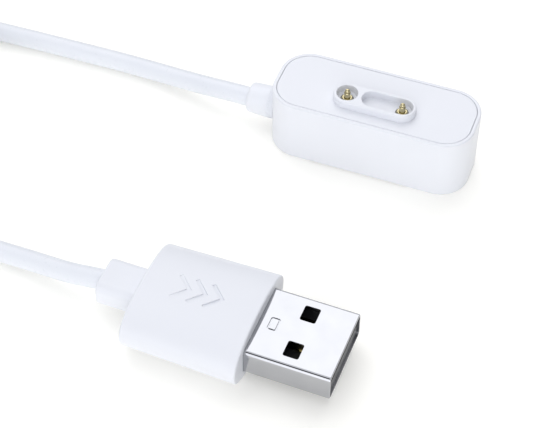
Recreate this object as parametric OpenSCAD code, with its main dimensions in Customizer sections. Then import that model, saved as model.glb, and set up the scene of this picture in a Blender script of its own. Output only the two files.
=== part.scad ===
// Charging cable for a fitness tracker: a dock head with two sprung contact pins,
// a thin white cord and a USB-A plug. Millimetres, +Z up.
// Origin: centre of the dock head's underside. +X runs along the dock head, away from its cord.

/* [Dock head] */
// Length of the dock head along X
dock_length = 30.7; // [29:0.1:38]
// Width of the dock head along Y
dock_width = 12.2; // [10:0.1:16]
// Height of the dock head without the contact bar
dock_height = 10.3; // [9.8:0.1:14]
// Radius of the dock head's upright corners
dock_corner = 4.6; // [2.5:0.1:4.8]
// Thickness of the housing's side walls
housing_wall = 1.3; // [1:0.1:1.6]
// Thickness of the housing's floor
housing_floor = 1.4; // [1:0.1:1.7]
// Width of the rim that shows around the inset cover
cover_rim = 0.58; // [0.4:0.02:0.8]
// Thickness of the inset cover
cover_thickness = 1.2; // [0.9:0.1:1.4]
// Length of the shallow relief in the lower long edges
relief_length = 15.2; // [8:0.1:18]
// Height of the relief
relief_height = 0.22; // [0.1:0.02:0.4]

/* [Contact bar] */
// Length of the raised contact bar
bar_length = 12.5; // [12:0.1:13.5]
// Width of the raised contact bar
bar_width = 4.3; // [4:0.1:5]
// Height of the bar above the cover
bar_height = 1.2; // [0.8:0.1:1.8]
// Shift of the bar along X from the middle of the dock head
bar_shift = 0.15; // [-0.5:0.05:0.5]
// Gap between the bar's flange and the near cavity wall
bar_wall_gap = 0.4; // [0.2:0.1:0.8]
// Width of both pockets in the bar
pocket_width = 3.15; // [2.6:0.05:3.4]
// Length of the slot pocket
slot_length = 7.7; // [5:0.1:7.9]
// Depth of the pockets below the bar's top
pocket_depth = 1.2; // [0.8:0.1:1.4]

/* [Contact pins] */
// Distance between the two pins
pin_pitch = 8.4; // [8:0.1:8.7]
// Diameter of the plunger's tip
plunger_diameter = 0.95; // [0.7:0.05:1.05]
// Diameter of the barrel
barrel_diameter = 1.5; // [1.4:0.05:1.7]
// Diameter of the collar on the barrel
collar_diameter = 1.65; // [1.6:0.05:1.9]
// Travel of the plunger
pin_travel = 0.9; // [0.5:0.1:1]
// Height of the resting tip above the pocket floor
pin_reach = 1.8; // [1.6:0.1:2]
// Wire diameter of the pin springs
spring_wire = 0.12; // [0.08:0.01:0.14]
// Turns in each pin spring
spring_turns = 7; // [4:1:8]

/* [Magnets and board] */
// Diameter of the two holding magnets
magnet_diameter = 4.6; // [3:0.1:5]
// Thickness of the magnets
magnet_thickness = 2; // [1:0.1:2.4]
// Length of the contact board
board_length = 16; // [14:0.5:17]
// Thickness of the contact board
board_thickness = 1; // [0.6:0.1:1.2]

/* [Cord] */
// Diameter of the round cord
cord_diameter = 3; // [2.4:0.1:3.6]
// Diameter of each insulated wire in the cord
wire_diameter = 0.85; // [0.6:0.05:0.9]
// Mean radius of the stored coil
coil_radius = 16.5; // [14:0.5:24]
// Width of the tie around the coil
tie_width = 5; // [3:0.5:8]
// Thickness of the tie
tie_thickness = 0.45; // [0.3:0.05:1]

/* [Strain reliefs] */
// Length of the dock head's strain relief outside the housing
dock_relief_length = 4.45; // [3:0.05:10]
// Its diameter at the housing
dock_relief_root = 5; // [4.2:0.1:5.4]
// Its diameter at the cord
dock_relief_tip = 4.6; // [3.8:0.1:5]
// Length of the plug's strain relief outside the grip
plug_relief_length = 6; // [3:0.1:12]
// Its width
plug_relief_width = 6.2; // [5:0.1:8]
// Its height
plug_relief_height = 4.2; // [4:0.1:5.5]

/* [USB plug] */
// Width of the metal plug shell, a standard size
shell_width = 12; // [11.9:0.05:12.1]
// Height of the metal plug shell, a standard size
shell_height = 4.5; // [4.4:0.05:4.6]
// Length of the shell in front of the grip
shell_exposed = 12.1; // [11.75:0.05:13]
// Length of the whole shell
shell_length = 18.75; // [18:0.05:20]
// Thickness of the shell's sheet steel
sheet = 0.3; // [0.25:0.01:0.35]
// Length of the grip
grip_length = 16.9; // [14:0.1:24]
// Width of the grip
grip_width = 18; // [17:0.1:22]
// Thickness of the grip
grip_thickness = 8; // [8:0.1:10]

/* [Hidden] */
$fn = 48;
fit_gap = 0.05;           // between pieces that are pressed or glued together
running_gap = 0.04;       // radial, around the plungers
eps = 0.01;               // overshoot of cuts

// Dock head, from the outside in.
cavity_length = dock_length - 2*housing_wall;
cavity_width = dock_width - 2*housing_wall;
cavity_corner = dock_corner - housing_wall;
cover_underside = dock_height - cover_thickness;
cord_height = 4;          // of the cord's axis in both reliefs
relief_depth = 1;         // of the lower edge relief, into the wall
relief_centre = -0.6;
neck_wall = 0.4;          // of the strain reliefs' necks, around the cord
neck_diameter = cord_diameter + 2*neck_wall;
inner_flange_wall = 1;    // of the dock relief's flange inside the housing
inner_flange_thickness = 1;

// Contact bar and its flange under the cover.
flange_margin = 0.8;
flange_thickness = 1;
stand_inset = 0.4;        // of the foot that stands on the board
barrel_gap = 0.02;        // around the barrels, which are pressed in
bar_y = -(cavity_width/2 - bar_wall_gap - bar_width/2 - flange_margin);
bar_top = dock_height + bar_height;
pocket_floor = bar_top - pocket_depth;
pocket_end = pin_pitch/2 + pocket_width/2;   // outer end of each pocket from the bar's middle

// Pins, from the tip down.
collar_height = 0.3;      // above the pocket floor
lip_thickness = 0.25;     // of the lip that keeps the plunger in
barrel_bore = plunger_diameter + 0.2;
head_length = 0.7;        // of the plunger's wider head below the lip
head_top = pocket_floor + collar_height - lip_thickness - 0.02;
spring_top = head_top - head_length;
spring_length = pin_travel + 1.28;
spring_bottom = spring_top - spring_length;
barrel_base = 0.35;       // thickness of the barrel's closed end
barrel_bottom = spring_bottom - barrel_base;
tail_diameter = 0.7;
tail_length = board_thickness + 0.5;
solder_diameter = 1.7;
solder_tip = 0.9;
solder_height = 0.45;

// Board, hanging under the bar on the pins and held up by four posts.
board_top = barrel_bottom;
board_bottom = board_top - board_thickness;
board_gap = 0.8;          // between the board and the long cavity walls
board_width = cavity_width - 2*board_gap;
board_corner = 0.8;
post_diameter = 1.8;
post_inset = 1.15;        // of the posts from the board's edges
DIODE = [2.6, 1.5, 0.9];

// Magnets, glued into ring sockets under the cover.
socket_wall = 0.6;
socket_height = 1.5;
socket_radius = magnet_diameter/2 + fit_gap + socket_wall;
socket_gap = 0.35;        // between each socket and the end of the cavity
magnet_x = cavity_length/2 - socket_radius - socket_gap;

// Plug, drawn with its mouth at the origin and its body along -X, then laid in place.
plug_tip = [9.3, -41.4];
plug_yaw = -1.2;
grip_back = -shell_exposed - grip_length;
grip_power = 2.4;         // of the grip's pillow section
grip_sides = 72;
plug_relief_corner = 1.2;
shell_corner = 0.7;
shell_inner_corner = 0.4;
mould_front = -shell_exposed - 2;
mould_length = 10;
mould_back = mould_front - mould_length;
mould_width = shell_width + 0.6;
mould_height = shell_height + 0.9;
mould_corner = 0.7;
core_length = 3.8;        // hollow behind the shell for tails, wires and crimp
core_width = shell_width - 1.6;
core_height = shell_height - 0.9;
plug_cord_end = -shell_length - core_length + 1.6;
crimp_wall = 0.25;
crimp_length = 1.2;
crimp_setback = 0.1;      // behind the cord's cut end
window_centre = 6.15;     // behind the mouth
window_length = 2.2;
window_width = 2.55;
window_pitch = 6.3;
stamp_place = [-10.1, -0.1];
STAMP = [1.3, 2.1];       // small frame pressed into the shell
stamp_line = 0.18;
stamp_depth = 0.14;
insulator_top = -0.05;
insulator_front = -0.35;
block_back = -shell_length + 1;     // full-height block at the insulator's back
block_front = -shell_exposed - 1.4;
contact_width = 1;
contact_thickness = 0.25;
contact_inset = 0.15;     // depth of the contact grooves
outer_contact_front = -2.1;
data_contact_front = -3.1;
long_tail = -shell_length - 1.3;    // back end of the two contacts that carry wires
short_tail = -shell_length - 0.5;   // back end of the two data contacts
CONTACT_Y = [3.5, 1, -1, -3.5];   // supply, data minus, data plus, ground
chevron_arm = 2.8;
chevron_line = 0.5;
chevron_depth = 0.35;
chevron_start = 0.4;      // of the first of three marks, as a share of the grip from its back
chevron_step = 0.14;

// Coil: the cord winds around a ring, each turn 40 degrees further round the bundle.
bundle_radius = 1.02*cord_diameter/(2*sin(20));
coil_section = bundle_radius + cord_diameter/2;
coil_centre = [-84.5, -19, coil_section + tie_thickness];

// Route of the cord from the dock head to the coil.
DOCK_RUN = [
    [-13.2, 0, 4], [-16.5, 0, 4], [-19.8, 0, 3.9], [-23, 0.2, 3.7], [-27, 0.7, 3.1],
    [-31, 1.4, 2.4], [-36, 2.1, 1.8], [-42, 2.4, 1.6], [-50, 2.4, 1.5], [-57, 2.3, 1.5],
    [-64, 2.1, 1.6], [-71, 1.8, 2.1], [-78, 1.3, 2.9], [-84.5, 0.9, 3.5]];
// Route of the cord from the coil to the plug's strain relief.
PLUG_RUN = [
    [-84.5, -39.7, 4.9], [-77, -39.7, 4.2], [-70, -39.5, 3.3], [-63, -39.3, 2.4], [-56, -39.1, 1.8],
    [-49, -39.1, 1.6], [-42, -39.4, 1.7], [-38, -39.7, 2.1], [-34, -40.2, 2.7], [-30.5, -40.6, 3.3],
    [-28, -40.65, 3.7], [-25.6, -40.67, 4], [-19, -40.81, 4], [-11.88, -40.96, 4]];

// ---- shared shapes ----

// Rectangle with round corners, centred.
module round_rect(length, width, radius) {
    for (turn = [0, 90])
        square(turn == 0 ? [length - 2*radius, width] : [length, width - 2*radius], center = true);
    for (x = [-1, 1], y = [-1, 1])
        translate([x*(length/2 - radius), y*(width/2 - radius)]) circle(radius);
}

// Upright slab with round corners between two heights.
module slab(length, width, radius, bottom, top) {
    translate([0, 0, bottom]) linear_extrude(top - bottom) round_rect(length, width, radius);
}

// Slab with half-round ends.
module stadium(length, width, bottom, top) {
    translate([0, 0, bottom]) linear_extrude(top - bottom) {
        square([length - width, width], center = true);
        for (x = [-1, 1]) translate([x*(length - width)/2, 0]) circle(width/2);
    }
}

// Bar with a rounded rectangular section across Y and Z, between two stations on X.
module bar_x(width, height, radius, back, front) {
    translate([back, 0, 0]) rotate([90, 0, 90])
        linear_extrude(front - back) round_rect(width, height, radius);
}

// Pillow outline: |y/a| to the grip's power plus |z/b| to the same power is 1.
module pillow(width, height) {
    polygon([for (i = [0 : grip_sides - 1])
        let (across = cos(360*(i + 0.5)/grip_sides), up = sin(360*(i + 0.5)/grip_sides))
        [width/2*sign(across)*pow(abs(across), 2/grip_power),
         height/2*sign(up)*pow(abs(up), 2/grip_power)]]);
}

// Round bar along X.
module rod_x(diameter, back, front) {
    translate([back, 0, 0]) rotate([0, 90, 0]) cylinder(d = diameter, h = front - back);
}

function unit(v) = v/norm(v);

// Closed tube with the given number of sides along a list of points.
module swept_tube(path, radius, sides) {
    last = len(path) - 1;
    rings = [for (i = [0 : last])
        let (ahead = unit(path[min(i + 1, last)] - path[max(i - 1, 0)]),
             side = unit(cross(ahead, [0, 0, 1])),
             up = cross(side, ahead))
        for (k = [0 : sides - 1])
            path[i] + radius*(cos(360*k/sides)*side + sin(360*k/sides)*up)];
    walls = [for (i = [0 : last - 1], k = [0 : sides - 1])
        let (next = (k + 1) % sides)
        each [[i*sides + k, i*sides + next, (i + 1)*sides + next],
              [i*sides + k, (i + 1)*sides + next, (i + 1)*sides + k]]];
    ends = [for (k = [1 : sides - 2])
        each [[0, k + 1, k], [last*sides, last*sides + k, last*sides + k + 1]]];
    polyhedron(rings, concat(walls, ends));
}

// Places its children at both pin positions, or at one of them.
module at_pin(side) {
    translate([bar_shift + side*pin_pitch/2, bar_y, 0]) children();
}

// Lays the plug in place.
module at_plug() {
    translate([plug_tip[0], plug_tip[1], cord_height]) rotate([0, 0, plug_yaw]) children();
}

// ---- dock head ----

module dock_housing() {
    color("white") difference() {
        slab(dock_length, dock_width, dock_corner, 0, dock_height);
        slab(cavity_length, cavity_width, cavity_corner, housing_floor, dock_height + eps);
        slab(dock_length - 2*cover_rim, dock_width - 2*cover_rim, dock_corner - cover_rim,
            cover_underside, dock_height + eps);
        translate([0, 0, cord_height])
            rod_x(neck_diameter + 2*fit_gap, -dock_length/2 - 1, -cavity_length/2 + 1);
        for (side = [-1, 1])
            translate([relief_centre - relief_length/2, side*dock_width/2 - relief_depth, -eps])
                cube([relief_length, 2*relief_depth, relief_height + eps]);
    }
    color("white") for (x = [-1, 1], y = [-1, 1])
        translate([x*(board_length/2 - post_inset), y*(board_width/2 - post_inset), housing_floor])
            cylinder(d = post_diameter, h = board_bottom - housing_floor);
}

module top_cover() {
    color("white") {
        difference() {
            slab(dock_length - 2*cover_rim - 2*fit_gap, dock_width - 2*cover_rim - 2*fit_gap,
                dock_corner - cover_rim - fit_gap, cover_underside, dock_height);
            translate([bar_shift, bar_y, 0])
                stadium(bar_length + 2*fit_gap, bar_width + 2*fit_gap, 0, bar_top);
        }
        for (side = [-1, 1]) translate([side*magnet_x, 0, cover_underside - socket_height])
            difference() {
                cylinder(r = socket_radius, h = socket_height);
                translate([0, 0, -eps]) cylinder(r = socket_radius - socket_wall, h = socket_height + eps);
            }
    }
}

module contact_bar() {
    color("white") translate([bar_shift, bar_y, 0]) difference() {
        union() {
            stadium(bar_length, bar_width, cover_underside, bar_top);
            stadium(bar_length + 2*flange_margin, bar_width + 2*flange_margin,
                cover_underside - flange_thickness, cover_underside);
            stadium(bar_length - 2*stand_inset, bar_width - 2*stand_inset, board_top,
                cover_underside - flange_thickness);
        }
        translate([-pocket_end + pocket_width/2, 0, pocket_floor])
            cylinder(d = pocket_width, h = pocket_depth + eps);
        translate([pocket_end - slot_length/2, 0, 0])
            stadium(slot_length, pocket_width, pocket_floor, bar_top + eps);
        for (side = [-1, 1]) translate([side*pin_pitch/2, 0, 0])
            cylinder(d = barrel_diameter + 2*barrel_gap, h = bar_top);
    }
}

// Barrel with a collar on the pocket floor, a lip at its mouth and a tail through the board.
module pin_barrel(side) {
    color("goldenrod") at_pin(side) rotate_extrude() {
        translate([0, barrel_bottom - tail_length]) square([tail_diameter/2, tail_length + eps]);
        translate([0, barrel_bottom]) square([barrel_diameter/2, barrel_base]);
        translate([barrel_bore/2, barrel_bottom])
            square([(barrel_diameter - barrel_bore)/2, pocket_floor - barrel_bottom + eps]);
        translate([barrel_bore/2, pocket_floor])
            square([(collar_diameter - barrel_bore)/2, collar_height]);
        translate([plunger_diameter/2 + running_gap, pocket_floor + collar_height - lip_thickness])
            square([barrel_bore/2 - plunger_diameter/2 - running_gap + eps, lip_thickness]);
    }
}

// Plunger: round tip, shank through the lip, and a head that the spring pushes on.
module pin_plunger(side) {
    shank = plunger_diameter/2;
    shank_top = pocket_floor + pin_reach - shank;
    color("gold") at_pin(side) rotate_extrude() {
        translate([0, head_top - eps]) square([shank, shank_top - head_top + eps]);
        translate([0, shank_top]) intersection() {
            circle(shank);
            square(shank);
        }
        translate([0, spring_top]) square([barrel_bore/2 - running_gap, head_length]);
    }
}

module pin_spring(side) {
    radius = barrel_bore/2 - running_gap - spring_wire/2 - 0.02;
    steps = 14;
    last = spring_turns*steps;
    low = spring_bottom + spring_wire/2 + 0.005;
    rise = spring_length - spring_wire - 0.01;
    color("silver") at_pin(side)
        swept_tube([for (i = [0 : last])
            [radius*cos(360*i/steps), radius*sin(360*i/steps), low + rise*i/last]],
            spring_wire/2, 6);
}

module magnet(side) {
    color("silver") translate([side*magnet_x, 0, cover_underside - magnet_thickness])
        cylinder(d = magnet_diameter, h = magnet_thickness);
}

module contact_board() {
    color("green") difference() {
        slab(board_length, board_width, board_corner, board_bottom, board_top);
        for (side = [-1, 1]) at_pin(side)
            translate([0, 0, board_bottom - eps])
                cylinder(d = tail_diameter + 2*fit_gap, h = board_thickness + 2*eps);
    }
}

module surge_diode() {
    color("black") translate([-DIODE[0]/2, board_width/2 - board_gap - DIODE[1], board_bottom - DIODE[2]])
        cube(DIODE);
}

module pin_solder() {
    color("silver") for (side = [-1, 1]) at_pin(side)
        translate([0, 0, board_bottom - solder_height]) difference() {
            cylinder(d1 = solder_tip, d2 = solder_diameter, h = solder_height);
            translate([0, 0, -eps]) cylinder(d = tail_diameter, h = solder_height + 2*eps);
        }
}

// Wire from the cord's end up to the solder at one pin.
module dock_wire(side, lane) {
    pin_x = bar_shift + side*pin_pitch/2;
    lane_y = lane*0.55*wire_diameter;
    end_z = board_bottom - wire_diameter/2;
    swept_tube([[DOCK_RUN[0][0], lane_y, cord_height], [DOCK_RUN[0][0] + 2.15, lane_y, cord_height],
        [pin_x - 2.5, lane_y + lane*0.1, end_z - 0.7], [pin_x - 0.8, bar_y + 1, end_z],
        [pin_x, bar_y + solder_diameter/2, end_z]], wire_diameter/2, 10);
}

// Tapered collar outside, a neck through the wall and a flange inside, around the cord.
// The flange is moulded against the cavity's end, so it follows the cavity's round corners.
module dock_strain_relief() {
    color("white") difference() {
        union() {
            translate([-dock_length/2 - dock_relief_length, 0, cord_height]) rotate([0, 90, 0])
                cylinder(d1 = dock_relief_tip, d2 = dock_relief_root, h = dock_relief_length);
            translate([0, 0, cord_height])
                rod_x(neck_diameter, -dock_length/2 - eps, -cavity_length/2 + fit_gap + eps);
            intersection() {
                slab(cavity_length - 2*fit_gap, cavity_width - 2*fit_gap, cavity_corner - fit_gap,
                    housing_floor, cover_underside);
                translate([0, 0, cord_height]) rod_x(cord_diameter + 2*inner_flange_wall,
                    -cavity_length/2, -cavity_length/2 + inner_flange_thickness);
            }
        }
        translate([0, 0, cord_height]) rod_x(cord_diameter,
            -dock_length/2 - dock_relief_length - 1, -cavity_length/2 + inner_flange_thickness + 1);
    }
}

// ---- cord ----

module cord_run(path) {
    color("white") swept_tube(path, cord_diameter/2, 8);
}

module cord_coil() {
    color("white") translate(coil_centre) rotate_extrude($fn = 96)
        translate([coil_radius, 0]) circle(coil_section);
}

module coil_tie() {
    color("white") translate(coil_centre + [-coil_radius, tie_width/2, 0]) rotate([90, 0, 0])
        difference() {
            cylinder(r = coil_section + tie_thickness, h = tie_width);
            translate([0, 0, -eps]) cylinder(r = coil_section, h = tie_width + 2*eps);
        }
}

// ---- plug ----

module plug_strain_relief() {
    color("white") at_plug() difference() {
        union() {
            bar_x(plug_relief_width, plug_relief_height, plug_relief_corner,
                grip_back - plug_relief_length, grip_back);
            rod_x(neck_diameter, grip_back - eps, mould_back);
        }
        rod_x(cord_diameter, grip_back - plug_relief_length - 1, mould_back + 1);
    }
}

// One of the arrow marks that show which way the plug goes in.
module chevron(x) {
    for (side = [-1, 1]) translate([x, 0, grip_thickness/2 - chevron_depth]) rotate([0, 0, side*135])
        translate([0, -chevron_line/2, 0]) cube([chevron_arm, chevron_line, 2*chevron_depth]);
}

module plug_grip() {
    color("white") at_plug() difference() {
        translate([grip_back, 0, 0]) rotate([90, 0, 90])
            linear_extrude(grip_length) pillow(grip_width, grip_thickness);
        bar_x(shell_width + 2*fit_gap, shell_height + 2*fit_gap, shell_corner + fit_gap,
            mould_front - 1, -shell_exposed + 1);
        bar_x(mould_width + 2*fit_gap, mould_height + 2*fit_gap, mould_corner + fit_gap,
            mould_back, mould_front);
        rod_x(neck_diameter + 2*fit_gap, grip_back - 1, mould_back + 1);
        for (i = [0 : 2]) chevron(grip_back + grip_length*(chevron_start + chevron_step*i));
    }
}

module plug_inner_mould() {
    core_back = -shell_length - core_length;
    color("gainsboro") at_plug() difference() {
        bar_x(mould_width, mould_height, mould_corner, mould_back, mould_front);
        bar_x(shell_width + 2*fit_gap, shell_height + 2*fit_gap, shell_corner + fit_gap,
            -shell_length, mould_front + 1);
        bar_x(core_width, core_height, 0.4, core_back, -shell_length + 1);
        rod_x(cord_diameter, mould_back - 1, core_back + 1);
    }
}

module plug_shell() {
    color("silver") at_plug() difference() {
        bar_x(shell_width, shell_height, shell_corner, -shell_length, 0);
        bar_x(shell_width - 2*sheet, shell_height - 2*sheet, shell_inner_corner, -shell_length - 1, 1);
        for (side = [-1, 1])
            translate([-window_centre - window_length/2, side*window_pitch/2 - window_width/2, -shell_height])
                cube([window_length, window_width, 2*shell_height]);
        translate([stamp_place[0], stamp_place[1], shell_height/2 - stamp_depth])
            linear_extrude(1) difference() {
                square(STAMP, center = true);
                square([STAMP[0] - 2*stamp_line, STAMP[1] - 2*stamp_line], center = true);
            }
    }
}

module plug_insulator() {
    inner_width = shell_width - 2*sheet - 2*fit_gap;
    inner_height = shell_height - 2*sheet - 2*fit_gap;
    color("black") at_plug() difference() {
        bar_x(inner_width, inner_height, shell_inner_corner, block_back, insulator_front);
        translate([block_front, -inner_width, insulator_top])
            cube([-block_front, 2*inner_width, inner_height]);
        for (y = CONTACT_Y)
            translate([block_back - 1, y - contact_width/2 - fit_gap, insulator_top - contact_inset])
                cube([-1 - block_back, contact_width + 2*fit_gap, contact_inset + 2*eps]);
        for (y = CONTACT_Y)
            translate([block_back - 1, y - contact_width/2 - fit_gap, insulator_top - contact_inset])
                cube([block_front - block_back + 2, contact_width + 2*fit_gap, contact_thickness + fit_gap]);
    }
}

// Flat spring contact; the outer two reach nearer the mouth, so that they meet first.
module plug_contact(i) {
    outer = i == 0 || i == 3;
    front = outer ? outer_contact_front : data_contact_front;
    back = outer ? long_tail : short_tail;
    color("gold") at_plug()
        translate([back, CONTACT_Y[i] - contact_width/2, insulator_top - contact_inset])
            cube([front - back, contact_width, contact_thickness]);
}

module plug_cord_crimp() {
    color("silver") at_plug() difference() {
        rod_x(cord_diameter + 2*crimp_wall, plug_cord_end - crimp_setback - crimp_length,
            plug_cord_end - crimp_setback);
        rod_x(cord_diameter, plug_cord_end - crimp_length - 1, plug_cord_end + 1);
    }
}

// Wire from the cord's end to the tail of an outer contact.
module plug_wire(side) {
    tail_top = insulator_top - contact_inset + contact_thickness;
    at_plug() swept_tube([[plug_cord_end, side*0.5, 0], [plug_cord_end + 0.6, side*0.8, tail_top],
        [long_tail + 0.3, side*3.2, tail_top + wire_diameter/2],
        [long_tail + 1.1, side*3.5, tail_top + wire_diameter/2]], wire_diameter/2, 10);
}

dock_housing();
top_cover();
contact_bar();
pin_barrel(-1);  // left_pin_barrel
pin_barrel(1);  // right_pin_barrel
pin_plunger(-1);  // left_pin_plunger
pin_plunger(1);  // right_pin_plunger
pin_spring(-1);  // left_pin_spring
pin_spring(1);  // right_pin_spring
magnet(-1);  // left_magnet
magnet(1);  // right_magnet
contact_board();
surge_diode();
pin_solder();
color("red") dock_wire(1, 1);  // dock_supply_wire
color("black") dock_wire(-1, -1);  // dock_ground_wire
dock_strain_relief();
cord_run(DOCK_RUN);  // cord_dock_run
cord_coil();
coil_tie();
cord_run(PLUG_RUN);  // cord_plug_run
plug_strain_relief();
plug_grip();
plug_inner_mould();
plug_shell();
plug_insulator();
plug_contact(0);  // plug_supply_contact
plug_contact(1);  // plug_data_minus_contact
plug_contact(2);  // plug_data_plus_contact
plug_contact(3);  // plug_ground_contact
plug_cord_crimp();
color("red") plug_wire(1);  // plug_supply_wire
color("black") plug_wire(-1);  // plug_ground_wire
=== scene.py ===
"""Charging cable of a fitness tracker: a white dock head with two sprung pins, a thin cord and a USB-A plug.

The sections come in this order: the table that it lies on, its cord, the dock head from its housing inwards,
the tie round the stored coil, and then the plug from its contacts out to the grip. Lengths are in metres.
"""

import bmesh
import bpy
import numpy as np
from mathutils import Matrix, Vector


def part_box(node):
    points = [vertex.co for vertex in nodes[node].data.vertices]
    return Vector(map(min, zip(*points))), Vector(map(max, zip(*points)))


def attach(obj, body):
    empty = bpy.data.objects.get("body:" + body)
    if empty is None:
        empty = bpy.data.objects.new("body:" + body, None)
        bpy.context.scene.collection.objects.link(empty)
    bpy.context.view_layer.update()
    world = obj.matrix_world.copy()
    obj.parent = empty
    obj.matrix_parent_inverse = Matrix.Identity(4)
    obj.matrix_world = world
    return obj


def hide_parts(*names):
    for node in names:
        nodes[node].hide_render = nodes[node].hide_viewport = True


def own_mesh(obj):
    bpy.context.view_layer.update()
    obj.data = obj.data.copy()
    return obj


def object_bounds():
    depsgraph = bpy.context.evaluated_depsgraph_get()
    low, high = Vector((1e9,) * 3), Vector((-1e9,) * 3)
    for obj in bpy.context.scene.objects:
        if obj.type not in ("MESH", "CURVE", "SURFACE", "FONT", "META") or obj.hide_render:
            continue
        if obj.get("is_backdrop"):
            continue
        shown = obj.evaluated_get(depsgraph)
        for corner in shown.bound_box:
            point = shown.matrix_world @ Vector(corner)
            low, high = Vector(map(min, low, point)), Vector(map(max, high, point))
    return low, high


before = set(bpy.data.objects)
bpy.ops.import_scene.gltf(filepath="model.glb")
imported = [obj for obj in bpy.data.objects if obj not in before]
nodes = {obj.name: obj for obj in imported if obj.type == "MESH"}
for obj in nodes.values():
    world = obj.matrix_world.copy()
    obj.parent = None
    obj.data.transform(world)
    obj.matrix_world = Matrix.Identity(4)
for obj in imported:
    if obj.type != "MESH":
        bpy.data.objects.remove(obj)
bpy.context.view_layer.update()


# ---- Camera ----
# A long lens looks down on the cable at 48 degrees, from the side that the plug lies on.
AIM = Vector((-0.0092, -0.0178, 0))
DISTANCE = 0.2304
AZIMUTH, ELEVATION, ROLL = np.radians((19.66, 48.42, 0.67))
camera_data = bpy.data.cameras.new("camera")
camera = bpy.data.objects.new("camera", camera_data)
bpy.context.scene.collection.objects.link(camera)
towards = Vector((
    np.sin(AZIMUTH) * np.cos(ELEVATION),
    -np.cos(AZIMUTH) * np.cos(ELEVATION),
    np.sin(ELEVATION),
))
level = Vector((np.cos(AZIMUTH), np.sin(AZIMUTH), 0))
steep = towards.cross(level)
across = level * np.cos(ROLL) + steep * np.sin(ROLL)
upwards = steep * np.cos(ROLL) - level * np.sin(ROLL)
turned_to_aim = Matrix((across, upwards, towards)).transposed().to_4x4()
camera.matrix_world = Matrix.Translation(AIM + towards * DISTANCE) @ turned_to_aim
camera_data.sensor_width = 36
camera_data.lens = 103.66
camera_data.clip_start = 0.01
bpy.context.scene.camera = camera


# ---- Table and light ----
# A seamless white table under one big soft box, which hangs behind the cable. The room is white, brightest at
# the horizon. A black card above the front and a dark gap at the back give the metal something to reflect. Grey
# flags stand at both sides and a white reflector in front.
bpy.context.scene.view_settings.view_transform = "Standard"


def linear(colour):
    """An sRGB hex colour as linear red, green, blue and alpha: each channel goes through the sRGB curve."""
    channels = np.array([int(colour[i:i + 2], 16) for i in (1, 3, 5)]) / 255
    curve = np.where(channels <= 0.04045, channels / 12.92, ((channels + 0.055) / 1.055) ** 2.4)
    return (*curve.tolist(), 1.0)


def add(tree, kind, inputs=None, **settings):
    """Adds one node: settings are its properties, and each input gets a value or the socket that feeds it."""
    node = tree.nodes.new("ShaderNode" + kind)
    for name, value in settings.items():
        setattr(node, name, value)
    for name, value in (inputs or {}).items():
        if isinstance(value, bpy.types.NodeSocket):
            tree.links.new(value, node.inputs[name])
        else:
            node.inputs[name].default_value = value
    return node


def material(name, **surface):
    """A new material with its shader's plain values set; returns it, its node tree and the shader."""
    made = bpy.data.materials.new(name)
    made.use_nodes = True
    shader = made.node_tree.nodes["Principled BSDF"]
    for socket, value in surface.items():
        shader.inputs[socket.replace("_", " ")].default_value = value
    return made, made.node_tree, shader


room = bpy.data.worlds.new("room")
bpy.context.scene.world = room
room.use_nodes = True
tree = room.node_tree
way = add(tree, "TexCoord").outputs["Generated"]
height = add(tree, "SeparateXYZ", {"Vector": way}).outputs["Z"]
HORIZON_LIGHT, OVERHEAD_LIGHT, OVERHEAD_FROM = 1.45, 1.1, 0.8
strength = add(tree, "MapRange", {
    "Value": height, "From Min": 0.0, "From Max": OVERHEAD_FROM,
    "To Min": HORIZON_LIGHT, "To Max": OVERHEAD_LIGHT}, interpolation_type="SMOOTHSTEP").outputs["Result"]
# A card is (direction, edge, middle, amount). It multiplies the room's light by its amount where the cosine to its
# direction is over the middle value, and fades out towards the edge value.
black_card = (Vector((-0.223, -0.519, 0.826)), 0.978, 0.988, 0.02)
dark_gap = (Vector((-np.sin(AZIMUTH), np.cos(AZIMUTH), 0)), 0.92, 0.98, 0.05)
right_flag = (level, 0.15, 0.85, 0.22)
left_flag = (-level, 0.35, 0.9, 0.3)
reflector = (Vector((-0.25, -0.968, 0)), 0.45, 0.95, 1.85)
for direction, edge, middle, amount in (black_card, dark_gap, right_flag, left_flag, reflector):
    facing = add(tree, "VectorMath", {0: way, 1: direction}, operation="DOT_PRODUCT").outputs["Value"]
    share = add(tree, "MapRange",
        {"Value": facing, "From Min": edge, "From Max": middle, "To Min": 1.0, "To Max": amount},
        interpolation_type="SMOOTHSTEP").outputs["Result"]
    strength = add(tree, "Math", {0: strength, 1: share}, operation="MULTIPLY").outputs["Value"]
background = tree.nodes["Background"]
background.inputs["Color"].default_value = linear("#fafbff")
tree.links.new(strength, background.inputs["Strength"])

SOFT_BOX_PLACE = (-0.16, 0.30, 0.50)
soft_box = bpy.data.lights.new("soft_box", "AREA")
soft_box.shape = "SQUARE"
soft_box.size = 0.62
soft_box.energy = 1.15
lamp = bpy.data.objects.new("soft_box", soft_box)
bpy.context.scene.collection.objects.link(lamp)
lamp.location = SOFT_BOX_PLACE
lamp.rotation_euler = (AIM - lamp.location).to_track_quat("-Z", "Y").to_euler()

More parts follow.
